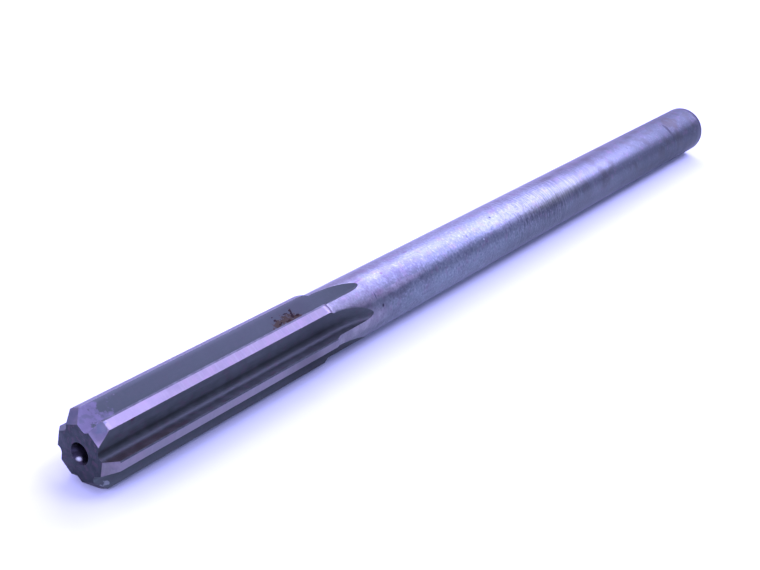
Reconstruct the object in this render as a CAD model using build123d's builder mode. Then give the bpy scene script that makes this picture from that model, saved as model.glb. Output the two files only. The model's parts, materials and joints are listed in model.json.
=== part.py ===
"""Straight-flute chucking reamer with a parallel shank, lying on its side.

The reamer is one piece of high-speed steel. It was turned, milled, hardened and ground.
Millimetres. The tool axis runs along X, the cutting end points to -X, and +Z is up.
It lies on a cutting edge and the heel before it, with the mouth of a flute straight down.
The origin is at the middle of the length, on the surface that the tool lies on.
"""

import os
from math import acos, atan, atan2, cos, degrees, hypot, radians, sin, sqrt, tan

from build123d import *

# Turned blank
cutting_diameter = 12.0
shank_diameter = 11.06
overall_length = 203.2
land_length = 49.6       # front face to the end of the full cutting diameter
step_length = 1.15       # taper from the lands down to the shank
shank_chamfer = 0.6

# Cutting chamfer at 45 degrees, backed off behind each edge
lead_chamfer = 1.65
chamfer_relief_angle = 10.0

# Flutes, milled with a disc cutter whose flat side cuts the radial face
flute_count = 6
land_width = 1.72        # along the cutting circle
flute_angle = 78.0       # between the radial face and the back wall
flute_root_radius = 0.9
flute_cutter_diameter = 63.0

# Ground lands: a narrow round margin behind the edge, then a flat relief
margin_width = 0.3
land_relief_angle = 9.0

# Centre holes in both ends, which carried the tool between centres for grinding
centre_mouth_diameter = 3.35
centre_pilot_diameter = 1.6
centre_depth = 3.6       # end face to the full depth of the pilot
centre_angle = 60.0
drill_point_angle = 120.0

# Overrun of a cut into free space
overrun = 1.0

cutting_radius = cutting_diameter / 2
shank_radius = shank_diameter / 2
pitch_angle = 360 / flute_count
land_angle = degrees(land_width / cutting_radius)
mouth_angle = pitch_angle - land_angle

# Flute profile, with u along the radial face and v across it, back wall on the -v side
wall_u = cutting_radius * cos(radians(mouth_angle))
wall_v = -cutting_radius * sin(radians(mouth_angle))
corner_u = wall_u + wall_v / tan(radians(flute_angle))
root_u = corner_u + flute_root_radius / tan(radians(flute_angle / 2)) - flute_root_radius
rim_u = max(cutting_radius, shank_radius) + overrun
rim_v = -(rim_u - corner_u) * tan(radians(flute_angle))

# The cutter's axis crosses above the tool where the full depth of the flute ends
cutter_radius = flute_cutter_diameter / 2
cutter_axis_u = root_u + cutter_radius
run_out_arc = degrees(acos((cutter_axis_u - rim_u) / cutter_radius))

# Heel of a land, where its flat relief meets the back wall of the flute
margin_angle = degrees(margin_width / cutting_radius)
relief_normal_angle = margin_angle + land_relief_angle - pitch_angle
relief_distance = cutting_radius * cos(radians(land_relief_angle))
wall_run = (relief_distance - corner_u * cos(radians(relief_normal_angle))) / cos(
    radians(flute_angle + relief_normal_angle)
)
heel_u = corner_u + wall_run * cos(radians(flute_angle))
heel_v = -wall_run * sin(radians(flute_angle))
heel_radius = hypot(heel_u, heel_v)
heel_angle = atan2(-heel_v, heel_u)

# The tool lies on a cutting edge and on the heel before it, both at the same level
lowest_edge_angle = atan((cutting_radius / heel_radius - cos(heel_angle)) / sin(heel_angle))
axis_height = cutting_radius * cos(lowest_edge_angle)
front_x = -overall_length / 2
back_x = overall_length / 2
tool_axis = Axis((0, 0, axis_height), (1, 0, 0))

core_diameter = 2 * (hypot(root_u + flute_root_radius, flute_root_radius) - flute_root_radius)


def edge_angle(index):
    """Angle from +Y towards +Z of a cutting edge; the first is the one that touches down."""
    return -90 + degrees(lowest_edge_angle) + index * pitch_angle


def radial(angle):
    """Unit vector from the tool axis at an angle from +Y towards +Z."""
    return Vector(0, cos(radians(angle)), sin(radians(angle)))


def across(angle):
    """Unit vector along the circle, from a cutting edge towards its heel."""
    return radial(angle + 90)


def section_plane(x, angle):
    """Plane square to the tool axis, with its local x along the radius at an angle."""
    return Plane(origin=(x, 0, axis_height), x_dir=radial(angle), z_dir=(1, 0, 0))


def axial_plane(x, forward):
    """Plane through the tool axis, with its local x along the axis and local y up."""
    return Plane(origin=(x, 0, axis_height), x_dir=(forward, 0, 0), z_dir=(0, -forward, 0))


with BuildPart() as reamer:
    # Turned blank
    with BuildSketch(axial_plane(front_x, 1)) as blank:
        with BuildLine():
            Polyline(
                (0, 0),
                (0, cutting_radius - lead_chamfer),
                (lead_chamfer, cutting_radius),
                (land_length, cutting_radius),
                (land_length + step_length, shank_radius),
                (overall_length - shank_chamfer, shank_radius),
                (overall_length, shank_radius - shank_chamfer),
                (overall_length, 0),
                close=True,
            )
        make_face()
    revolve(axis=tool_axis)

    # Centre holes, each drawn inwards from its own end face
    mouth_radius = centre_mouth_diameter / 2
    pilot_radius = centre_pilot_diameter / 2
    cone_depth = (mouth_radius - pilot_radius) / tan(radians(centre_angle / 2))
    point_depth = pilot_radius / tan(radians(drill_point_angle / 2))
    for end_plane in (axial_plane(front_x, 1), axial_plane(back_x, -1)):
        with BuildSketch(end_plane) as centre:
            with BuildLine():
                Polyline(
                    (0, 0),
                    (0, mouth_radius),
                    (cone_depth, pilot_radius),
                    (centre_depth, pilot_radius),
                    (centre_depth + point_depth, 0),
                    close=True,
                )
            make_face()
        revolve(axis=tool_axis, mode=Mode.SUBTRACT)

    # Flat relief on each land, from the back of its margin over the heel
    relief_length = land_width + overrun
    for index in range(flute_count):
        with BuildSketch(section_plane(front_x, edge_angle(index) + margin_angle)) as relief:
            with BuildLine():
                Polyline(
                    (cutting_radius, 0),
                    (cutting_radius - relief_length * tan(radians(land_relief_angle)), relief_length),
                    (cutting_radius + overrun, relief_length),
                    (cutting_radius + overrun, 0),
                    close=True,
                )
            make_face()
        extrude(amount=land_length + step_length, mode=Mode.SUBTRACT)

    # Relief on each tooth's chamfer, a flat that falls away from its cutting edge
    relief_reach = land_width + 2 * overrun
    edge_reach = lead_chamfer * sqrt(2) + 2 * overrun
    for index in range(flute_count):
        angle = edge_angle(index)
        edge_middle = Vector(front_x + lead_chamfer / 2, 0, axis_height) + radial(angle) * (
            cutting_radius - lead_chamfer / 2
        )
        edge_direction = (Vector(1, 0, 0) + radial(angle)).normalized()
        chamfer_normal = (Vector(-1, 0, 0) + radial(angle)).normalized()
        relief_normal = chamfer_normal * cos(radians(chamfer_relief_angle)) + across(angle) * sin(
            radians(chamfer_relief_angle)
        )
        with BuildSketch(Plane(edge_middle, x_dir=edge_direction, z_dir=relief_normal)) as facet:
            Rectangle(edge_reach, relief_reach, align=(Align.CENTER, Align.MIN))
        extrude(amount=overrun, mode=Mode.SUBTRACT)

    # Flutes: straight over the lands, then running out where the round cutter rose
    for index in range(flute_count):
        angle = edge_angle(index)
        cut_end = section_plane(front_x + land_length, angle)
        with BuildSketch(cut_end) as flute:
            with BuildLine():
                Polyline((rim_u, 0), (corner_u, 0), (rim_u, rim_v), close=True)
            make_face()
            fillet(flute.vertices().sort_by(Axis((0, 0, axis_height), radial(angle)))[0], flute_root_radius)
        extrude(amount=-(land_length + overrun), mode=Mode.SUBTRACT)
        cutter_axis = Axis(cut_end.from_local_coords((cutter_axis_u, 0, 0)), across(angle))
        with BuildSketch(cut_end):
            add(flute.sketch_local)
        revolve(axis=cutter_axis, revolution_arc=run_out_arc, mode=Mode.SUBTRACT)

reamer.part.label = "reamer"

os.makedirs("parts", exist_ok=True)
export_step(reamer.part, "parts/reamer.step")

print(f"core diameter {core_diameter:.2f}, axis height {axis_height:.4f}")
print(f"lowest edge at {degrees(lowest_edge_angle):.3f} degrees, heel radius {heel_radius:.3f}")
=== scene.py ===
"""Dresses the reamer: a fine mesh of the ground and milled tool, its steel finishes and the studio.

The tool lies along X with its cutting end at -X. Its sizes and the camera's place are named in
millimetres and become metres where they are used. The floor and the lamps are in metres.
"""

import json
from math import atan2, cos, hypot, pi, radians, sin, sqrt, tan

import bmesh
import bpy
import numpy as np
from mathutils import Matrix, Vector


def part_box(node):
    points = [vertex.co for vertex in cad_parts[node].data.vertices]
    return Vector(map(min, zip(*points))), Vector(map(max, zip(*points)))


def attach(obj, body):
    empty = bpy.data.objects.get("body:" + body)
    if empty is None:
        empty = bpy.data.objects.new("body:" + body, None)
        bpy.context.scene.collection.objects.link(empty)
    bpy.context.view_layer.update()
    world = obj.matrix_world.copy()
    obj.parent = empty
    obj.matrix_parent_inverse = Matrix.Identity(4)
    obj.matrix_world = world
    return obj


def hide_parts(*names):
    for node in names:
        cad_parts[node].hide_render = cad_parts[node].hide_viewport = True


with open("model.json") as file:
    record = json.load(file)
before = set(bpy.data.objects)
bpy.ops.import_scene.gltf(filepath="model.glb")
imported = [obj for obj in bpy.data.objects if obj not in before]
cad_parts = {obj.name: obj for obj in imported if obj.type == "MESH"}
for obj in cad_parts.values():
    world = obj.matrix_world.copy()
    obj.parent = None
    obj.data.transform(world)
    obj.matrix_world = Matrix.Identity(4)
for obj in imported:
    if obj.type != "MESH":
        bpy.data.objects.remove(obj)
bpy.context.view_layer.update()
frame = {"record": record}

MM = 0.001

# The whole tool, from the frame
LOW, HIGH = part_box("reamer")
SHANK_MOUNT = frame["record"]["mounts"][0]
FRONT_X = LOW.x / MM
LENGTH = (HIGH.x - LOW.x) / MM
SHANK_RADIUS = SHANK_MOUNT["dims"]["r_mm"]
AXIS_HEIGHT = SHANK_MOUNT["pos_m"][2] / MM

# Cutting end
TEETH = 6
CUT_RADIUS = 6.0
LAND_LENGTH = 49.6
STEP_LENGTH = 1.15
LEAD_CHAMFER = 1.65
CHAMFER_RELIEF = radians(10)
LAND_WIDTH = 1.72
MARGIN_WIDTH = 0.3
LAND_RELIEF = radians(9)
FLUTE_ANGLE = radians(78)
ROOT_RADIUS = 0.9
CUTTER_RADIUS = 31.5
LOWEST_EDGE = radians(22.246 - 90)      # angle from +Y of the cutting edge that touches down

# Shank end and centre holes
SHANK_CHAMFER = 0.6
MOUTH_RADIUS = 1.675
PILOT_RADIUS = 0.8
PILOT_DEPTH = 3.6
CONE_DEPTH = (MOUTH_RADIUS - PILOT_RADIUS) / tan(radians(30))
POINT_DEPTH = PILOT_RADIUS / tan(radians(60))

PITCH = 2 * pi / TEETH
LAND_ANGLE = LAND_WIDTH / CUT_RADIUS
MARGIN_ANGLE = MARGIN_WIDTH / CUT_RADIUS
STEP_END = LAND_LENGTH + STEP_LENGTH

# Flute section, with u along the radial face and v across it, back wall on the -v side
CORNER_U = CUT_RADIUS * (cos(PITCH - LAND_ANGLE) - sin(PITCH - LAND_ANGLE) / tan(FLUTE_ANGLE))
ROOT_TANGENT = ROOT_RADIUS / tan(FLUTE_ANGLE / 2)
CUTTER_AXIS_U = CORNER_U + ROOT_TANGENT - ROOT_RADIUS + CUTTER_RADIUS

# Fineness of the mesh: rings along the tool, and columns round each of its teeth
LAND_RING_STEP = 0.8
SHANK_RING_STEP = 3.0
RUN_OUT_RINGS = 36
CHAMFER_RINGS = 5
TAPER_RINGS = 5
MARGIN_COLUMNS = 2
RELIEF_COLUMNS = 10
WALL_STOPS, ROOT_STOPS, FACE_STOPS = 8, 13, 5
EDGE_BREAK = 0.035       # tiny worn bevel on the ground edges
CREASE_ANGLE = radians(28)
MERGE_DISTANCE = 1e-4

# Fineness of the flute's section, which runs past the rim, and of the search for its nose
WALL_SAMPLES, ROOT_SAMPLES, FACE_SAMPLES = 3000, 600, 1200
PAST_RIM = 1.5
NOSE_HALVINGS = 40

# Places of the finishes on the mesh, in the order in which they are made at the end
GROUND_SHANK, GROUND_LAND, WORN_EDGE, MILLED_FLUTE, FACED_END, DRILLED_CENTRE = range(6)


class Profile:
    """One flute's section at full depth, as a path from the heel's side to the cutting edge."""

    def __init__(self):
        reach = CUT_RADIUS + PAST_RIM
        wall_far = (reach - CORNER_U) / cos(FLUTE_ANGLE)
        run = np.linspace(wall_far, ROOT_TANGENT, WALL_SAMPLES)
        wall = np.stack([CORNER_U + run * cos(FLUTE_ANGLE), -run * sin(FLUTE_ANGLE)], 1)
        turn = np.linspace(1.5 * pi - FLUTE_ANGLE, pi / 2, ROOT_SAMPLES)[1:]
        root = np.stack(
            [CORNER_U + ROOT_TANGENT + ROOT_RADIUS * np.cos(turn), ROOT_RADIUS * (np.sin(turn) - 1)], 1
        )
        face_u = np.linspace(root[-1, 0], reach, FACE_SAMPLES)[1:]
        face = np.stack([face_u, np.zeros(len(face_u))], 1)
        self.points = np.concatenate([wall, root, face])
        self.root_start = float(len(wall) - 1)
        self.root_end = float(len(wall) + len(root) - 1)

    def lifted(self, t):
        """The section at station t, where the round cutter has risen past the lands' end."""
        advance = max(0.0, t - LAND_LENGTH)
        arm = CUTTER_AXIS_U - self.points[:, 0]
        u = CUTTER_AXIS_U - np.sqrt(np.maximum(arm**2 - advance**2, 0))
        return np.stack([u, self.points[:, 1]], 1)

    def at(self, t, place):
        """The point (u, v) at station t and a place along the path."""
        section = self.lifted(t)
        index = np.arange(len(section))
        return np.interp(place, index, section[:, 0]), np.interp(place, index, section[:, 1])

    def open_range(self, t_heel, t_edge):
        """Places where the flute breaks the outside at its heel and at its cutting edge, or the nose."""
        heel_side = self.depth(t_heel)
        edge_side = self.depth(t_edge)
        if heel_side.max() <= 0 or edge_side.max() <= 0:
            nose = float(np.argmax(heel_side))
            return nose, nose
        first = int(np.argmax(heel_side > 0))
        last = len(edge_side) - 1 - int(np.argmax(edge_side[::-1] > 0))
        start = first - heel_side[first] / (heel_side[first] - heel_side[first - 1])
        end = last + edge_side[last] / (edge_side[last] - edge_side[last + 1])
        return start, end

    def depth(self, t):
        """How far each point of the path lies below the outside of the tool at station t."""
        section = self.lifted(t)
        angle = PITCH + np.arctan2(section[:, 1], section[:, 0])
        # The first part of the path lies behind one edge, and the rest comes up to the next edge
        behind_edge = np.where(angle < 0.6 * PITCH, angle, 0)
        return outside(behind_edge, t) - np.hypot(section[:, 0], section[:, 1])


def land_outside(angle):
    """Radius of a land at an angle behind its cutting edge: round margin, then the flat relief."""
    flat = CUT_RADIUS * cos(LAND_RELIEF) / np.cos(angle - MARGIN_ANGLE - LAND_RELIEF)
    return np.where(np.asarray(angle) > MARGIN_ANGLE, flat, CUT_RADIUS)


def chamfer_slope(angle):
    """How much faster the chamfer's flat falls than a cone would, at an angle behind the edge."""
    return np.cos(angle) + sqrt(2) * tan(CHAMFER_RELIEF) * np.sin(angle)


def outside(angle, t):
    """Radius of the tool's outside at an angle behind a cutting edge and a station t."""
    if t >= STEP_END:
        return np.full(np.shape(angle), SHANK_RADIUS)
    chamfer = (CUT_RADIUS - LEAD_CHAMFER + t) / chamfer_slope(angle)
    step = CUT_RADIUS - (CUT_RADIUS - SHANK_RADIUS) * (t - LAND_LENGTH) / STEP_LENGTH
    return np.minimum(np.minimum(land_outside(angle), chamfer), step)


def chamfer_end(angle):
    """Station where the chamfer's flat meets the land."""
    return land_outside(angle) * chamfer_slope(angle) - CUT_RADIUS + LEAD_CHAMFER


def step_start(angle):
    """Station where the land meets the taper to the shank."""
    return LAND_LENGTH + (CUT_RADIUS - land_outside(angle)) * STEP_LENGTH / (CUT_RADIUS - SHANK_RADIUS)


def nose_station(profile):
    """Station where the rising cutter leaves the shank."""
    low, high = STEP_END, LAND_LENGTH + CUTTER_RADIUS / 2
    for _ in range(NOSE_HALVINGS):
        middle = (low + high) / 2
        if profile.depth(middle).max() > 0:
            low = middle
        else:
            high = middle
    return low


def land_shares(heel_angle):
    """Places across a land, from 0 at the cutting edge to 1 at the heel, with one on the margin's back."""
    margin = np.linspace(0, MARGIN_ANGLE, MARGIN_COLUMNS + 1)
    flat = np.linspace(MARGIN_ANGLE, heel_angle, RELIEF_COLUMNS + 1)[1:]
    return np.concatenate([margin, flat]) / heel_angle


def stations():
    """Rings along the tool as (zone, share): zones are chamfer, lands, taper, run-out and shank."""
    rings = [("chamfer", s) for s in np.linspace(0, 1, CHAMFER_RINGS)]
    count = round(LAND_LENGTH / LAND_RING_STEP)
    rings += [("lands", s) for s in np.linspace(0, 1, count)[1:]]
    rings += [("taper", s) for s in np.linspace(0, 1, TAPER_RINGS)[1:]]
    rings += [("run_out", s) for s in np.linspace(0, 1, RUN_OUT_RINGS)[1:]]
    count = round((LENGTH - STEP_END) / SHANK_RING_STEP)
    rings += [("shank", s) for s in np.linspace(0, 1, count)[1:]]
    return rings


def station_at(zone, share, angle, nose):
    """Station of one point of a ring, so that rings follow the slanting edges of chamfer and taper."""
    if zone == "chamfer":
        return share * chamfer_end(angle)
    if zone == "lands":
        return (1 - share) * chamfer_end(angle) + share * step_start(angle)
    if zone == "taper":
        return (1 - share) * step_start(angle) + share * STEP_END
    if zone == "run_out":
        return nose - (nose - STEP_END) * (1 - share) ** 2
    return nose + share * (LENGTH - SHANK_CHAMFER - nose)


def pitch_ring(profile, shares, across, heel_angle, zone, share, nose):
    """One pitch of a ring, edge to edge, as rows of station, radius and angle behind the edge."""
    t_edge = float(station_at(zone, share, 0.0, nose))
    t_heel = float(station_at(zone, share, heel_angle, nose))
    start, end = profile.open_range(t_heel, t_edge)
    heel_u, heel_v = profile.at(t_heel, start)
    edge_u, edge_v = profile.at(t_edge, end)
    heel = PITCH + atan2(heel_v, heel_u)
    edge = atan2(edge_v, edge_u)
    rows = []
    for place in shares:
        t = float(station_at(zone, share, place * heel_angle, nose))
        angle = edge + place * (heel - edge)
        rows.append((t, float(outside(angle, t)), angle))
    for place in across[1:-1]:
        t = t_heel + place * (t_edge - t_heel)
        u, v = profile.at(t, start + place * (end - start))
        radius = hypot(u, v) if end > start else float(outside(heel, t))
        rows.append((t, radius, PITCH + atan2(v, u)))
    return rows


def flute_shares(profile, heel_place, edge_place):
    """Places across a flute, closer together round the root."""
    stops = np.concatenate(
        [
            np.linspace(heel_place, profile.root_start, WALL_STOPS),
            np.linspace(profile.root_start, profile.root_end, ROOT_STOPS)[1:],
            np.linspace(profile.root_end, edge_place, FACE_STOPS)[1:],
        ]
    )
    return (stops - heel_place) / (edge_place - heel_place)


def point(t, radius, angle):
    """Place in metres of a point at a station, a radius and an angle from +Y towards +Z."""
    return Vector((FRONT_X + t, radius * cos(angle), AXIS_HEIGHT + radius * sin(angle))) * MM


def finish_of(zone, column, land_columns):
    """Finish of a face, from its zone along the tool and its column behind a cutting edge."""
    if zone == "face":
        return FACED_END
    if zone == "hole":
        return DRILLED_CENTRE
    if column >= land_columns and zone not in ("shank", "chamfer_end"):
        return MILLED_FLUTE
    if zone == "lands" and column < MARGIN_COLUMNS:
        return WORN_EDGE
    if zone in ("chamfer", "lands", "taper"):
        return GROUND_LAND
    return GROUND_SHANK


def tool_mesh():
    """The whole tool as rings of points, joined by faces that know their finish."""
    profile = Profile()
    nose = nose_station(profile)
    middle = LAND_LENGTH / 2
    heel_place, edge_place = profile.open_range(middle, middle)
    heel_u, heel_v = profile.at(middle, heel_place)
    heel_angle = PITCH + atan2(heel_v, heel_u)
    shares = land_shares(heel_angle)
    across = flute_shares(profile, heel_place, edge_place)
    plan = stations()
    rings = []
    for zone, share in plan:
        pitch = pitch_ring(profile, shares, across, heel_angle, zone, share, nose)
        ring = []
        for tooth in range(TEETH):
            turn = LOWEST_EDGE + tooth * PITCH
            ring += [(t, radius, angle + turn) for t, radius, angle in pitch]
        rings.append(ring)

    def round_ring(t, radius, like):
        """A round ring whose points stand at the same angles as those of another."""
        return [(t, radius, angle) for _, _, angle in like]

    first, last = rings[0], rings[-1]
    front = [
        round_ring(PILOT_DEPTH + POINT_DEPTH, 0.0, first),
        round_ring(PILOT_DEPTH, PILOT_RADIUS, first),
        round_ring(CONE_DEPTH, PILOT_RADIUS, first),
        round_ring(0.0, MOUTH_RADIUS, first),
    ]
    back = [
        round_ring(LENGTH, SHANK_RADIUS - SHANK_CHAMFER, last),
        round_ring(LENGTH, MOUTH_RADIUS, last),
        round_ring(LENGTH - CONE_DEPTH, PILOT_RADIUS, last),
        round_ring(LENGTH - PILOT_DEPTH, PILOT_RADIUS, last),
        round_ring(LENGTH - PILOT_DEPTH - POINT_DEPTH, 0.0, last),
    ]
    zones = ["hole"] * 3 + ["face"] + [zone for zone, _ in plan[1:]]
    zones += ["chamfer_end", "face"] + ["hole"] * 3
    rings = front + rings + back

    mesh = bmesh.new()
    grid = [[mesh.verts.new(point(*place)) for place in ring] for ring in rings]
    per_pitch = len(shares) + len(across) - 2
    land_columns = len(shares) - 1
    for row, zone in enumerate(zones):
        for column in range(len(grid[0])):
            following = (column + 1) % len(grid[0])
            corners = (
                grid[row][column],
                grid[row][following],
                grid[row + 1][following],
                grid[row + 1][column],
            )
            face = mesh.faces.new(corners)
            face.material_index = finish_of(zone, column % per_pitch, land_columns)
            # The line behind each margin stays sharp
            if zone == "lands" and column % per_pitch == MARGIN_COLUMNS:
                mesh.edges.get((corners[0], corners[3])).smooth = False
    bmesh.ops.remove_doubles(mesh, verts=mesh.verts, dist=MERGE_DISTANCE * MM)
    bmesh.ops.dissolve_degenerate(mesh, dist=MERGE_DISTANCE * MM, edges=mesh.edges)
    bmesh.ops.recalc_face_normals(mesh, faces=mesh.faces)
    return mesh


def break_edges(mesh):
    """A tiny flat along every sharp edge, which catches the light as a worn edge does."""
    sharp = [e for e in mesh.edges if len(e.link_faces) == 2 and e.calc_face_angle() > CREASE_ANGLE]
    bmesh.ops.bevel(
        mesh,
        geom=sharp,
        offset=EDGE_BREAK * MM,
        segments=1,
        profile=0.5,
        affect="EDGES",
        clamp_overlap=True,
    )


def make_tool():
    """The reamer as one object, which takes the place of its solid."""
    mesh = tool_mesh()
    break_edges(mesh)
    for face in mesh.faces:
        face.smooth = True
    for edge in mesh.edges:
        if len(edge.link_faces) == 2 and edge.calc_face_angle() > CREASE_ANGLE:
            edge.smooth = False
    data = bpy.data.meshes.new("reamer_steel")
    mesh.to_mesh(data)
    mesh.free()
    tool = bpy.data.objects.new("reamer_steel", data)
    bpy.context.scene.collection.objects.link(tool)
    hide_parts("reamer")
    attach(tool, "root")
    return tool


def linear(code):
    """An sRGB hex colour as linear red, green, blue and alpha."""
    parts = [int(code[i : i + 2], 16) / 255 for i in (1, 3, 5)]
    return tuple(c / 12.92 if c <= 0.04045 else ((c + 0.055) / 1.055) ** 2.4 for c in parts) + (1.0,)


def connect(tree, node, inputs):
    """Set each named input of a node to a hex colour or a value, or link it to another node's output."""
    for name, value in inputs.items():
        if isinstance(value, bpy.types.NodeSocket):
            tree.links.new(value, node.inputs[name])
        elif isinstance(value, str):
            node.inputs[name].default_value = linear(value)
        else:
            node.inputs[name].default_value = value


def add(tree, kind, settings, inputs, output=0):
    """Add a node with its settings and links, and give back one of its outputs."""
    made = tree.nodes.new("ShaderNode" + kind)
    for name, value in settings.items():
        setattr(made, name, value)
    connect(tree, made, inputs)
    return made.outputs[output]


# Settings that many nodes share, and the sockets of a colour mix
TIMES = {"operation": "MULTIPLY"}
SMOOTH = {"interpolation_type": "SMOOTHSTEP"}
COLOURS = {"data_type": "RGBA"}
SHARE, FROM, TO, MIXED = 0, 6, 7, 2


def new_steel(name):
    """A bare metal material, its node tree and shader, and the place on the tool in millimetres."""
    material = bpy.data.materials.new(name)
    material.use_nodes = True
    tree = material.node_tree
    shader = tree.nodes["Principled BSDF"]
    shader.inputs["Metallic"].default_value = 1.0
    metres = add(tree, "TexCoord", {}, {}, "Object")
    place = add(tree, "VectorMath", {"operation": "SCALE"}, {0: metres, "Scale": 1 / MM})
    return material, tree, shader, place


def surface_mm(t, angle, radius):
    """Place in millimetres of a point on the tool, with its angle in degrees from +Y towards +Z."""
    return FRONT_X + t, radius * cos(radians(angle)), AXIS_HEIGHT + radius * sin(radians(angle))


def tool_marks(tree, place, spacing, run):
    """Lines of a wheel or a cutter, from 0 to 1: spacing apart, and run times as long along x, y and z."""
    stretched = add(tree, "VectorMath", TIMES, {0: place, 1: [1 / (spacing * length) for length in run]})
    return add(tree, "TexNoise", {}, {"Vector": stretched, "Scale": 1.0, "Detail": 3.0})


def clouds(tree, place, size, seed, detail, roughness):
    """Clouds about a size in millimetres across; each seed takes them from another place."""
    moved = add(
        tree, "VectorMath", {"operation": "MULTIPLY_ADD"}, {0: place, 1: [1 / size] * 3, 2: [seed] * 3}
    )
    inputs = {"Vector": moved, "Scale": 1.0, "Detail": detail, "Roughness": roughness}
    return add(tree, "TexNoise", {}, inputs)


def mottle(tree, place, size, low, high, seed):
    """Uneven patches about a size across: 0 where the clouds are under low, and 1 over high."""
    cloudy = clouds(tree, place, size, seed, 4.0, 0.5)
    return add(tree, "MapRange", SMOOTH, {"Value": cloudy, "From Min": low, "From Max": high})


def spot(tree, place, centre, reach, core=0.4):
    """Mask of 1 round a centre, out to a core's share of the reach along x, y and z, and 0 beyond it."""
    offset = add(tree, "VectorMath", {"operation": "SUBTRACT"}, {0: place, 1: centre})
    shape = add(tree, "VectorMath", {"operation": "DIVIDE"}, {0: offset, 1: reach})
    far = add(tree, "VectorMath", {"operation": "LENGTH"}, {0: shape}, "Value")
    return add(tree, "MapRange", SMOOTH, {"Value": far, "From Min": 1.0, "From Max": core})


def mark(tree, place, t, angle, radius, reach_along, reach_across, core=0.4):
    """Spot round a point on the tool, with its reach in millimetres along the tool and across it."""
    centre = surface_mm(t, angle, radius)
    return spot(tree, place, centre, (reach_along, reach_across, reach_across), core)


def from_axis(tree, place):
    """Distance from the tool's axis in millimetres."""
    offset = add(tree, "VectorMath", {"operation": "SUBTRACT"}, {0: place, 1: (0, 0, AXIS_HEIGHT)})
    square = add(tree, "VectorMath", TIMES, {0: offset, 1: (0, 1, 1)})
    return add(tree, "VectorMath", {"operation": "LENGTH"}, {0: square}, "Value")


def fade(tree, place, axis, start, end, before=0.0, after=1.0):
    """Value that goes smoothly from before to after between two places along the X, Y or Z axis."""
    reached = add(tree, "SeparateXYZ", {}, {0: place}, axis)
    inputs = {
        "Value": reached,
        "From Min": start,
        "From Max": end,
        "To Min": before,
        "To Max": after,
    }
    return add(tree, "MapRange", SMOOTH, inputs)


def along(tree, place, start, end, before, after):
    """Value that goes from before to after between two stations behind the front face."""
    return fade(tree, place, "X", FRONT_X + start, FRONT_X + end, before, after)


def ragged(tree, place, mask, size, seed):
    """The mask with its soft border broken up into patches about a size across."""
    cloudy = clouds(tree, place, size, seed, 3.0, 0.6)
    # Kept where mask and clouds add up to enough, and faded out at the mask's rim
    joined = add(tree, "Math", {"operation": "MULTIPLY_ADD"}, {0: cloudy, 1: 2.5, 2: mask})
    torn = add(tree, "MapRange", SMOOTH, {"Value": joined, "From Min": 1.6, "From Max": 1.9})
    return product(tree, torn, add(tree, "MapRange", {}, {"Value": mask, "From Max": 0.35}))


def product(tree, *values):
    """The values multiplied; of masks, that is 1 only where every one of them is."""
    joined = values[0]
    for value in values[1:]:
        joined = add(tree, "Math", TIMES, {0: joined, 1: value})
    return joined


def any_of(tree, *masks):
    """Mask that is 1 where at least one of the masks is."""
    joined = masks[0]
    for mask in masks[1:]:
        joined = add(tree, "Math", {"operation": "MAXIMUM"}, {0: joined, 1: mask})
    return joined


def stain(tree, colour, mask, strength, shade):
    """The colour, taken towards a shade by up to a strength where the mask is 1."""
    share = mask if strength == 1.0 else product(tree, mask, strength)
    return add(tree, "Mix", COLOURS, {SHARE: share, FROM: colour, TO: shade}, MIXED)


def with_marks(tree, place, colour, marks):
    """The colour with a table of the shank's painted highlights and shade, or of its marks, laid over it
    one after another.
    """
    for t, angle, reach_along, reach_across, strength, shade in marks:
        mask = mark(tree, place, t, angle, SHANK_RADIUS, reach_along, reach_across)
        colour = stain(tree, colour, mask, strength, shade)
    return colour


# Painted highlights and painted shade that reshape the light on the shank, then small marks on it, each
# with its station, angle, reach along and across, strength and shade
SHANK_PAINTED_LIGHT = (
    (54.0, 178.0, 13.0, 2.60, 0.85, "#A8A6A2"),
    (66.0, 142.0, 14.0, 0.80, 0.65, "#9A9894"),
    (78.0, 121.0, 20.0, 1.60, 0.30, "#4C4A58"),
    (97.0, 102.0, 24.0, 1.20, 0.25, "#3C3C48"),
    (110.0, 134.0, 14.0, 1.80, 0.35, "#8A908C"),
    (123.0, 158.0, 9.0, 2.40, 0.45, "#34343A"),
    (125.0, 131.0, 19.0, 2.40, 0.60, "#6E765E"),
    (143.0, 98.0, 26.0, 2.60, 0.45, "#34343A"),
    (182.0, 168.0, 16.0, 1.60, 0.30, "#5A6062"),
)
SHANK_NICKS = (
    (102.7, 109.2, 0.42, 0.40, 0.90, "#1E2030"),
    (92.6, 123.0, 0.30, 0.60, 0.55, "#33364A"),
    (66.6, 107.5, 0.40, 0.34, 0.60, "#4E2438"),
    (76.3, 89.0, 0.70, 0.40, 0.50, "#4A3045"),
    (60.6, 99.5, 1.60, 0.20, 0.60, "#46303E"),
    (61.7, 139.0, 0.18, 0.85, 0.70, "#2A2840"),
    (62.9, 161.5, 0.40, 0.40, 0.85, "#201E24"),
    (96.8, 143.0, 0.26, 0.26, 0.50, "#DCE2E0"),
    (163.4, 114.0, 0.30, 0.60, 0.55, "#33343C"),
    (129.3, 85.0, 3.20, 1.00, 0.50, "#34362A"),
    (136.9, 77.0, 2.60, 0.80, 0.50, "#34362A"),
    (147.7, 85.5, 3.00, 1.00, 0.40, "#34362A"),
    (168.9, 86.5, 2.60, 1.00, 0.45, "#34362A"),
    (174.2, 77.5, 2.60, 0.90, 0.45, "#34362A"),
)


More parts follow.
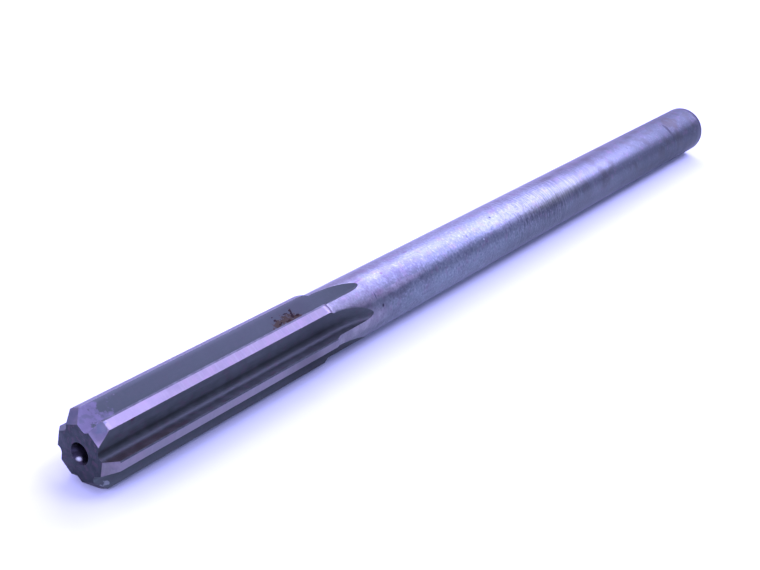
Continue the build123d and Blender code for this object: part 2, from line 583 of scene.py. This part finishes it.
def ground_shank_steel():
    """High-speed steel, cylindrically ground: a satin grey with fine rings and grain in its highlights."""
    material, tree, shader, place = new_steel("ground_high_speed_steel_shank")
    # Grinding lines are about 0.05 mm apart, and are drawn at 0.42 mm so that they show
    rings = tool_marks(tree, place, 0.42, (1, 7, 7))
    # Grit marks are about 0.05 mm across, and are drawn at 0.5 mm so that they show
    grit = tool_marks(tree, place, 0.5, (1, 1, 1))
    bright_rings = add(tree, "MapRange", SMOOTH, {"Value": rings, "From Min": 0.5, "From Max": 0.68})
    dark_rings = add(tree, "MapRange", SMOOTH, {"Value": rings, "From Min": 0.5, "From Max": 0.34})
    bright_grit = add(tree, "MapRange", SMOOTH, {"Value": grit, "From Min": 0.52, "From Max": 0.7})
    dark_grit = add(tree, "MapRange", SMOOTH, {"Value": grit, "From Min": 0.48, "From Max": 0.32})
    ringed = product(tree, along(tree, place, 96, 116, 0.1, 1.0), along(tree, place, 124, 150, 1.0, 0.06))
    gritty = along(tree, place, 112, 135, 1.0, 0.35)

    # Duller and darker from the middle on, where chucks and hands held it
    colour = stain(tree, "#687270", along(tree, place, 100, 130, 0.0, 1.0), 1.0, "#5C6462")
    colour = stain(tree, colour, along(tree, place, 132, 195, 0.0, 1.0), 1.0, "#424A48")
    colour = stain(tree, colour, mottle(tree, place, 7.0, 0.45, 0.7, 11.0), 0.35, "#504E52")
    # Painted highlights and painted shade on the shank
    colour = with_marks(tree, place, colour, SHANK_PAINTED_LIGHT)

    # Bright and dark rings show most round the middle, and grit before it
    colour = stain(tree, colour, product(tree, bright_rings, ringed), 0.42, "#848A82")
    colour = stain(tree, colour, product(tree, dark_rings, ringed), 0.45, "#2A2E2E")
    colour = stain(tree, colour, product(tree, bright_grit, gritty), 0.45, "#8A9292")
    colour = stain(tree, colour, product(tree, dark_grit, gritty), 0.40, "#3E4248")

    # Rubbed to a brownish grey behind the run-outs of the flutes, with faint green and violet all over
    colour = stain(tree, colour, along(tree, place, 54, 72, 1.0, 0.0), 0.55, "#5C5852")
    dulled = product(tree, along(tree, place, 66, 82, 1.0, 0.0), mottle(tree, place, 2.2, 0.40, 0.62, 40.0))
    colour = stain(tree, colour, dulled, 0.45, "#4E4C50")
    colour = stain(tree, colour, mottle(tree, place, 2.0, 0.52, 0.68, 61.0), 0.25, "#50625A")
    colour = stain(tree, colour, mottle(tree, place, 1.8, 0.54, 0.68, 77.0), 0.22, "#7A5A6C")

    # Painted shade on the lower half of the near side, darker from the middle on, and a painted bluish
    # reflection of the floor low down all round
    below = fade(tree, place, "Z", 8.6, 4.6)
    near_side = fade(tree, place, "Y", 1.0, -2.5)
    painted_shade_from_middle = product(tree, below, near_side, along(tree, place, 85, 115, 0.0, 1.0))
    painted_shade_towards_end = product(tree, below, near_side, along(tree, place, 140, 195, 0.0, 1.0))
    colour = stain(tree, colour, painted_shade_from_middle, 0.52, "#1A2A1D")
    colour = stain(tree, colour, painted_shade_towards_end, 0.35, "#121A18")
    # Painted bluish reflection of the floor, low on the side
    colour = stain(tree, colour, fade(tree, place, "Z", 4.0, 0.8), 0.5, "#3C4664")

    # Smoky patches on the far half, and the ring and brown stain that a chuck left near the end
    far_half = along(tree, place, 118, 150, 0.0, 1.0)
    smoky = product(tree, far_half, mottle(tree, place, 3.6, 0.48, 0.64, 21.0))
    ring = mark(tree, place, 185.5, 118, SHANK_RADIUS, 0.7, 2.2, 0.5)
    faint_ring = mark(tree, place, 185.9, 160, SHANK_RADIUS, 0.5, 5.0, 0.6)
    brown = mark(tree, place, 189.0, 107, SHANK_RADIUS, 7.0, 3.6, 0.0)
    brown = ragged(tree, place, brown, 1.8, 5.0)
    colour = stain(tree, colour, smoky, 0.50, "#38392E")
    colour = stain(tree, colour, brown, 0.70, "#3C3A2E")
    colour = stain(tree, colour, faint_ring, 0.35, "#2A2A30")
    colour = stain(tree, colour, ring, 0.9, "#16161C")
    colour = with_marks(tree, place, colour, SHANK_NICKS)
    colour = stain(tree, colour, along(tree, place, 201.2, 202.6, 0.0, 1.0), 0.6, "#26242A")

    # Faint bands of grinding, about 3 mm wide, and duller steel towards the end
    bands = tool_marks(tree, place, 3.0, (1, 12, 12))
    sheen = {"Value": bands, "From Min": 0.3, "From Max": 0.7, "To Min": 0.35, "To Max": 0.38}
    roughness = add(tree, "MapRange", SMOOTH, sheen)
    roughness = product(tree, roughness, along(tree, place, 140, 185, 1.0, 1.35))
    ring_cuts = {"Strength": ringed, "Distance": 0.055 * MM, "Height": rings}
    ringed_surface = add(tree, "Bump", {}, ring_cuts)
    grit_share = along(tree, place, 104, 132, 0.8, 0.35)
    grit_cuts = {"Strength": grit_share, "Distance": 0.05 * MM, "Height": grit}
    surface = add(tree, "Bump", {}, {**grit_cuts, "Normal": ringed_surface})
    connect(tree, shader, {"Base Color": colour, "Roughness": roughness, "Normal": surface})
    return material


def ground_land_steel():
    """High-speed steel, wheel-ground across the lands: bright, with fine short cross lines."""
    material, tree, shader, place = new_steel("ground_high_speed_steel_land")
    # Wheel marks are about 0.05 mm apart, and are drawn at 0.45 mm so that they show
    lines = tool_marks(tree, place, 0.45, (1, 8, 8))
    bright_lines = add(tree, "MapRange", SMOOTH, {"Value": lines, "From Min": 0.48, "From Max": 0.7})
    colour = stain(tree, "#736F6C", mottle(tree, place, 2.5, 0.4, 0.65, 4.0), 0.6, "#696768")
    colour = stain(tree, colour, bright_lines, 0.20, "#8A8785")
    colour = stain(tree, colour, mottle(tree, place, 1.7, 0.5, 0.66, 53.0), 0.25, "#856E78")
    colour = stain(tree, colour, along(tree, place, 40, 50, 0.0, 1.0), 0.25, "#565454")

    # Painted shade on the far lands, and painted light on the nearest one, which is paler, with a darker
    # stretch before its end
    far_side = fade(tree, place, "Y", -0.5, 2.0)
    near_side = fade(tree, place, "Y", -4.6, -5.6)
    # Painted shade on the far side
    colour = stain(tree, colour, far_side, 0.58, "#4E4E4E")
    # Painted light on the near side
    colour = stain(tree, colour, near_side, 0.3, "#8A8684")
    late = product(tree, along(tree, place, 33, 42, 0.0, 1.0), along(tree, place, 43, 47, 1.0, 0.3))
    colour = stain(tree, colour, product(tree, near_side, late), 0.5, "#3A3836")

    # Scale of hardening on the chamfers: thin on the far side and in patches on the others, with painted
    # shade on the hidden and lower sides
    chamfer = along(tree, place, 1.3, 1.9, 1.0, 0.0)
    scale = mottle(tree, place, 1.0, 0.35, 0.6, 17.0)
    scale = add(tree, "MapRange", {}, {"Value": scale, "To Min": 0.05, "To Max": 0.35})
    colour = stain(tree, colour, product(tree, chamfer, far_side, scale), 1.0, "#3E4A42")
    colour = stain(tree, colour, product(tree, chamfer, far_side), 0.35, "#4C5A68")
    # Painted shade on the hidden side's chamfer
    painted_shade_hidden_side = mark(tree, place, 0.8, 0, 5.2, 4.0, 2.2, 0.7)
    colour = stain(tree, colour, product(tree, chamfer, painted_shade_hidden_side), 0.85, "#201A20")
    blotches = mottle(tree, place, 0.9, 0.45, 0.65, 23.0)
    colour = stain(tree, colour, product(tree, chamfer, blotches), 0.3, "#4C5058")
    dull = mark(tree, place, 0.6, 119, 5.2, 3.0, 2.0, 0.6)
    colour = stain(tree, colour, product(tree, chamfer, dull), 0.7, "#464850")
    patch = ragged(tree, place, mark(tree, place, 1.2, 119, 5.7, 1.6, 1.5, 0.0), 0.6, 2.0)
    colour = stain(tree, colour, patch, 0.8, "#485256")
    # Painted shade on the lower side's chamfer, next to the floor
    painted_shade_under_side = mark(tree, place, 0.8, 241, 5.2, 4.0, 2.0, 0.7)
    colour = stain(tree, colour, product(tree, chamfer, painted_shade_under_side), 0.85, "#201C22")

    # Painted highlights on the upper land behind its chamfer and on its taper to the shank
    bright = mark(tree, place, 7, 121, 5.9, 8.0, 1.6, 0.5)
    colour = stain(tree, colour, bright, 0.25, "#8C8684")
    taper = mark(tree, place, 50.2, 120, 5.8, 0.9, 1.4, 0.7)
    colour = stain(tree, colour, taper, 0.3, "#8A8784")

    roughness = along(tree, place, 1.3, 1.9, 0.48, 0.40)
    surface = add(tree, "Bump", {}, {"Strength": 0.4, "Distance": 0.02 * MM, "Height": lines})
    connect(tree, shader, {"Base Color": colour, "Roughness": roughness, "Normal": surface})
    return material


def worn_edge_steel():
    """The same steel at the cutting edges, rubbed dark by use: a thin dark line along each land."""
    material, tree, shader, place = new_steel("worn_high_speed_steel_edge")
    colour = stain(tree, "#424543", mottle(tree, place, 1.2, 0.35, 0.7, 9.0), 1.0, "#525653")
    connect(tree, shader, {"Base Color": colour, "Roughness": 0.45})
    return material


# Rust on the top back wall: patches, then darker knots and veins, each with its station, angle, radius,
# and reach along and across
RUST_PATCHES = (
    (41.0, 90.5, 4.10, 2.1, 1.45),
    (43.2, 88.0, 4.22, 2.7, 1.75),
    (45.3, 94.0, 3.96, 2.4, 1.3),
)
RUST_VEINS = (
    (45.2, 77.4, 4.96, 0.62, 0.68),
    (45.1, 82.5, 4.51, 0.50, 0.82),
    (44.9, 88.2, 4.20, 0.60, 0.60),
    (46.0, 89.5, 4.12, 1.10, 0.40),
    (43.9, 79.5, 4.80, 1.10, 0.28),
    (41.2, 81.7, 4.61, 0.55, 0.45),
    (41.7, 90.5, 4.10, 0.90, 0.40),
    (41.0, 75.9, 5.11, 0.35, 0.30),
    (43.6, 92.2, 4.00, 0.90, 0.35),
)

# Reach of a mask that hardly fades along the flutes
FULL_RUN = 2 * LENGTH


def milled_flute_steel():
    """High-speed steel, milled and hardened: a dull slate scale, half oxide, marked along the flute."""
    material, tree, shader, place = new_steel("milled_and_hardened_steel_flute")
    # Milling lines are about 0.1 mm apart, and are drawn at 0.35 mm so that they show
    lines = tool_marks(tree, place, 0.35, (30, 1, 1))
    scale = mottle(tree, place, 1.6, 0.35, 0.7, 2.0)
    colour = stain(tree, "#363D38", scale, 0.8, "#3C433D")
    colour = stain(tree, colour, mottle(tree, place, 1.0, 0.52, 0.68, 14.0), 0.5, "#44363A")
    bright_lines = add(tree, "MapRange", SMOOTH, {"Value": lines, "From Min": 0.45, "From Max": 0.75})
    colour = stain(tree, colour, bright_lines, 0.35, "#464C48")

    # Darker in the roots, and painted bounce light from the floor makes the flutes that face down paler
    radius = from_axis(tree, place)
    root = add(tree, "MapRange", SMOOTH, {"Value": radius, "From Min": 4.15, "From Max": 3.85})
    colour = stain(tree, colour, root, 0.6, "#1A2419")
    low_side = fade(tree, place, "Z", 5.2, 3.2)
    # Painted bounce light on the flutes that face down
    pale = product(tree, low_side, along(tree, place, 5, 45, 1.0, 0.4))
    colour = stain(tree, colour, pale, 0.55, "#5C665E")

    # The near flutes darken before their run-outs, and have a brown streak and a pale patch in front
    near_side = fade(tree, place, "Y", -1.5, -3.2)
    late = product(tree, along(tree, place, 37, 47, 0.0, 1.0), along(tree, place, 48, 56, 1.0, 0.3))
    colour = stain(tree, colour, product(tree, near_side, late), 0.42, "#161A18")
    brown = mark(tree, place, 4, 173, 5.3, 14.0, 1.3, 0.5)
    colour = stain(tree, colour, brown, 0.45, "#3C2A1E")
    pale_patch = ragged(tree, place, mark(tree, place, 1.3, 232, 5.25, 1.9, 0.65, 0.0), 0.6, 9.0)
    colour = stain(tree, colour, pale_patch, 0.8, "#8E9690")

    # The top back wall has an even green-grey scale, darker round its rust, paler along its heel, and
    # worn off near the cutting end to a violet grey
    wall = mark(tree, place, 0, 94, 4.2, FULL_RUN, 3.2, 0.55)
    colour = stain(tree, colour, wall, 0.8, "#2D3830")
    by_rust = product(tree, along(tree, place, 36, 46, 0.0, 1.0), along(tree, place, 47, 53, 1.0, 0.0))
    colour = stain(tree, colour, product(tree, wall, by_rust), 0.4, "#181E1A")
    heel = mark(tree, place, 0, 66, 6.2, FULL_RUN, 1.1, 0.2)
    colour = stain(tree, colour, product(tree, heel, along(tree, place, 25, 48, 1.0, 0.2)), 0.45, "#5A645E")
    back_wall = mark(tree, place, 0, 88, 4.6, FULL_RUN, 3.4, 0.9)
    worn = product(tree, back_wall, ragged(tree, place, along(tree, place, 0.5, 8.5, 1.0, 0.0), 1.5, 30.0))
    colour = stain(tree, colour, worn, 0.65, "#625C6A")
    leftover = product(tree, worn, mottle(tree, place, 0.9, 0.46, 0.62, 44.0))
    colour = stain(tree, colour, leftover, 0.45, "#34403C")
    speck = mark(tree, place, 7.7, 74, 5.6, 0.30, 0.25)
    colour = stain(tree, colour, speck, 0.6, "#8A8488")
    pit = mark(tree, place, 6.0, 130, 5.8, 0.55, 0.45)
    colour = stain(tree, colour, pit, 0.8, "#3A1E28")

    # Rust on that wall, ragged and brown, with dark knots and veins
    patches = any_of(tree, *(mark(tree, place, *sizes, 0.0) for sizes in RUST_PATCHES))
    veins = any_of(tree, *(mark(tree, place, *sizes, 0.0) for sizes in RUST_VEINS))
    brown_rust = ragged(tree, place, patches, 0.6, 1.0)
    dark_rust = ragged(tree, place, veins, 0.35, 6.0)
    colour = stain(tree, colour, brown_rust, 0.78, "#352A1B")
    colour = stain(tree, colour, dark_rust, 0.95, "#1A0E08")

    # Half steel and half oxide; the film of rust is thin, and shines as the steel under it does
    metal = add(tree, "MapRange", {}, {"Value": scale, "To Min": 0.65, "To Max": 0.45})
    metal = any_of(tree, metal, brown_rust, dark_rust)
    roughness = add(tree, "MapRange", {}, {"Value": scale, "To Min": 0.50, "To Max": 0.60})
    surface = add(tree, "Bump", {}, {"Strength": 0.4, "Distance": 0.03 * MM, "Height": lines})
    connect(tree, shader, {"Base Color": colour, "Metallic": metal})
    connect(tree, shader, {"Roughness": roughness, "Normal": surface})
    return material


def faced_end_steel():
    """High-speed steel, faced and hardened: dark and uneven, with faint rings round the centre hole."""
    material, tree, shader, place = new_steel("faced_and_hardened_steel_end")
    # Facing cuts are about 0.1 mm apart, and are drawn at 0.35 mm so that they show
    turns = product(tree, from_axis(tree, place), 2 * pi / 0.35)
    rings = add(tree, "Math", {"operation": "SINE"}, {0: turns})
    colour = stain(tree, "#2E3333", mottle(tree, place, 1.2, 0.35, 0.65, 8.0), 1.0, "#383C3C")
    colour = stain(tree, colour, mottle(tree, place, 0.8, 0.5, 0.64, 19.0), 0.6, "#4E3E46")
    surface = add(tree, "Bump", {}, {"Strength": 0.2, "Distance": 0.01 * MM, "Height": rings})
    connect(tree, shader, {"Base Color": colour, "Roughness": 0.5, "Normal": surface})
    return material


def drilled_centre_steel():
    """High-speed steel, drilled and lapped by a centre: dark inside, with a painted glint in the lower part
    of the cone.
    """
    material, tree, shader, place = new_steel("lapped_high_speed_steel_centre")
    # A painted glint in the lower part of the cone
    painted_glint = spot(tree, place, surface_mm(0.45, 293, 1.45), (0.6, 0.58, 0.34), 0.2)
    colour = stain(tree, "#2C2A30", mottle(tree, place, 0.6, 0.35, 0.65, 12.0), 0.6, "#3C3A42")
    colour = stain(tree, colour, painted_glint, 1.0, "#D4D8CC")
    connect(tree, shader, {"Base Color": colour, "Roughness": 0.25})
    return material


# The floor's width in metres
FLOOR_WIDTH = 6.0


def make_floor():
    """A plain pale floor, far larger than the view."""
    bpy.ops.mesh.primitive_plane_add(size=FLOOR_WIDTH, location=(0, 0, 0))
    floor = bpy.context.object
    floor.name = "floor"
    material = bpy.data.materials.new("matt_white_card")
    material.use_nodes = True
    tree = material.node_tree
    inputs = {"Base Color": "#D0DAD6", "Roughness": 0.9, "Specular IOR Level": 0.1}
    connect(tree, tree.nodes["Principled BSDF"], inputs)
    floor.data.materials.append(material)


# Camera: its place in millimetres, its angles and its lens
CAMERA_PLACE = Vector((-198.3, -106.5, 104.2))
CAMERA_AZIMUTH = radians(32.68)      # from +X towards +Y
CAMERA_PITCH = radians(26.24)        # down
CAMERA_ROLL = radians(6.55)
CAMERA_LENS = 59.43
SENSOR_WIDTH = 36.0
NEAREST_VIEW = 0.01      # metres


def turned(place, right, up, back):
    """Matrix that puts a camera or a lamp at a place in metres, with its own three axes turned."""
    return Matrix.Translation(place) @ Matrix((right, up, back)).transposed().to_4x4()


def make_camera():
    """The camera at the photograph's place and angles."""
    forward = Vector(
        (
            cos(CAMERA_PITCH) * cos(CAMERA_AZIMUTH),
            cos(CAMERA_PITCH) * sin(CAMERA_AZIMUTH),
            -sin(CAMERA_PITCH),
        )
    )
    level = forward.cross(Vector((0, 0, 1))).normalized()
    upright = level.cross(forward)
    right = level * cos(CAMERA_ROLL) + upright * sin(CAMERA_ROLL)
    up = right.cross(forward)
    data = bpy.data.cameras.new("camera")
    data.lens = CAMERA_LENS
    data.sensor_width = SENSOR_WIDTH
    data.clip_start = NEAREST_VIEW
    camera = bpy.data.objects.new("camera", data)
    camera.matrix_world = turned(CAMERA_PLACE * MM, right, up, -forward)
    bpy.context.scene.collection.objects.link(camera)
    bpy.context.scene.camera = camera


# Light of the lamps and of the room, a cool violet white
LAMP = "#BCB3FF"
NEAR_ROOM = "#B5B3FF"
FAR_ROOM = "#C1B3FF"

# How far a direction points along Y where the far wall of the room starts, and where it is full
FAR_WALL = (0.18, 0.55)

# Lamps: name, place and size in metres, radiance that a mirror would show, and the long side's direction
LAMPS = (
    ("overhead_softbox", (0.642, -0.642, 1.782), (0.85, 0.85), 13.0, (1, 0, 0)),
    ("long_lamp", (1.892, 0.433, 1.576), (3.32, 0.27), 44.0, (-0.4145, 0.8728, 0.2577)),
    ("fill_softbox", (-1.33, -0.77, 1.29), (1.0, 1.0), 3.0, (1, -0.8, 0)),
    ("front_card", (-2.0, 0.1, 0.75), (1.5, 1.0), 9.0, (0, 1, 0)),
)


def make_lamp(name, place, size, radiance, long_way):
    """A rectangular lamp that faces the tool, with its long side as near to a direction as it can be."""
    data = bpy.data.lights.new(name, "AREA")
    data.shape = "RECTANGLE"
    data.size, data.size_y = size
    data.color = linear(LAMP)[:3]
    data.energy = radiance * pi * size[0] * size[1]
    lamp = bpy.data.objects.new(name, data)
    aim = -Vector(place).normalized()
    across = aim.cross(Vector(long_way)).normalized()
    long_side = across.cross(aim)
    lamp.matrix_world = turned(place, long_side, across, -aim)
    bpy.context.scene.collection.objects.link(lamp)


def make_lights():
    """A softbox overhead, a long lamp past the shank end, a fill, a card in front, and a pale room."""
    for lamp in LAMPS:
        make_lamp(*lamp)
    world = bpy.data.worlds.new("studio")
    bpy.context.scene.world = world
    world.use_nodes = True
    tree = world.node_tree
    direction = add(tree, "TexCoord", {}, {}, "Generated")
    # The room is brighter behind the tool, and dimmer near the floor and past the shank end
    far_wall = fade(tree, direction, "Y", *FAR_WALL, 1.66, 2.6)
    above_horizon = fade(tree, direction, "Z", 0.0, 0.3, 0.67, 1.0)
    dim_corner = fade(tree, direction, "X", 0.76, 0.95, 1.0, 0.6)
    strength = product(tree, far_wall, above_horizon, dim_corner)
    far_share = fade(tree, direction, "Y", *FAR_WALL)
    colour = stain(tree, NEAR_ROOM, far_share, 1.0, FAR_ROOM)
    connect(tree, tree.nodes["Background"], {"Color": colour, "Strength": strength})


tool = make_tool()
for finish in (
    ground_shank_steel,
    ground_land_steel,
    worn_edge_steel,
    milled_flute_steel,
    faced_end_steel,
    drilled_centre_steel,
):
    tool.data.materials.append(finish())
make_floor()
make_camera()
make_lights()
bpy.context.scene.view_settings.view_transform = "Standard"
